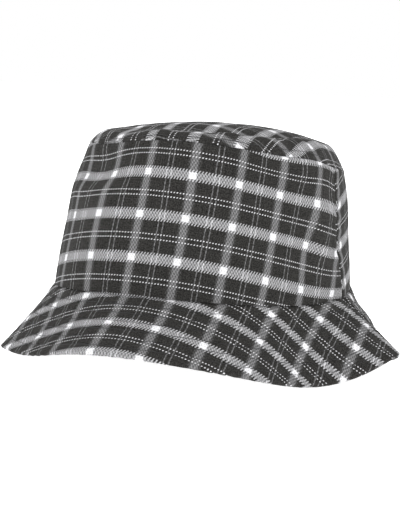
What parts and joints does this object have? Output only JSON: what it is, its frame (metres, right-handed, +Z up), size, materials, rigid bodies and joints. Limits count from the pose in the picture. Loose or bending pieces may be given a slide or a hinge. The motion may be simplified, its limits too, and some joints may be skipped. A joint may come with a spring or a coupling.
{
  "type": "bucket hat",
  "caption": "Soft plaid twill bucket hat: a domed oval tip, a panelled crown side with a sweatband inside, and a stitched brim that slopes down all round.",
  "frame": {"origin": "middle of the head opening: the oval where the crown's side meets the brim, at its mean height", "axes": "+Z up through the crown, the wearer faces -Y, and the wearer's left is +X; Y is the hat's long axis"},
  "size_m": [0.245, 0.279, 0.1381],
  "materials": {
    "plaid_twill": "matte brushed twill, charcoal and grey-white plaid",
    "interlining": "matte plain weave",
    "sweatband": "matte ribbed band",
    "seam_tape": "matte twill tape",
    "label": "satin weave, blank",
    "thread": "slightly glossy polyester thread"
  },
  "bodies": {
    "root": {"crown_tip": "plaid_twill", "crown_side_front": "plaid_twill", "crown_side_back": "plaid_twill", "brim_top_front": "plaid_twill", "brim_top_back": "plaid_twill", "brim_under_front": "plaid_twill", "brim_under_back": "plaid_twill", "brim_interlining_front": "interlining", "brim_interlining_back": "interlining", "sweatband": "sweatband", "tip_seam_tape": "seam_tape", "side_seam_tape_left": "seam_tape", "side_seam_tape_right": "seam_tape", "size_label": "label", "care_label": "label", "brim_stitch_1": "thread", "brim_stitch_2": "thread", "brim_stitch_3": "thread", "brim_stitch_4": "thread", "brim_stitch_5": "thread", "brim_stitch_6": "thread", "brim_bobbin_1": "thread", "brim_bobbin_2": "thread", "brim_bobbin_3": "thread", "brim_bobbin_4": "thread", "brim_bobbin_5": "thread", "brim_bobbin_6": "thread", "tip_stitch": "thread", "tip_bobbin": "thread", "sweatband_stitch": "thread"}
  },
  "joints": []
}
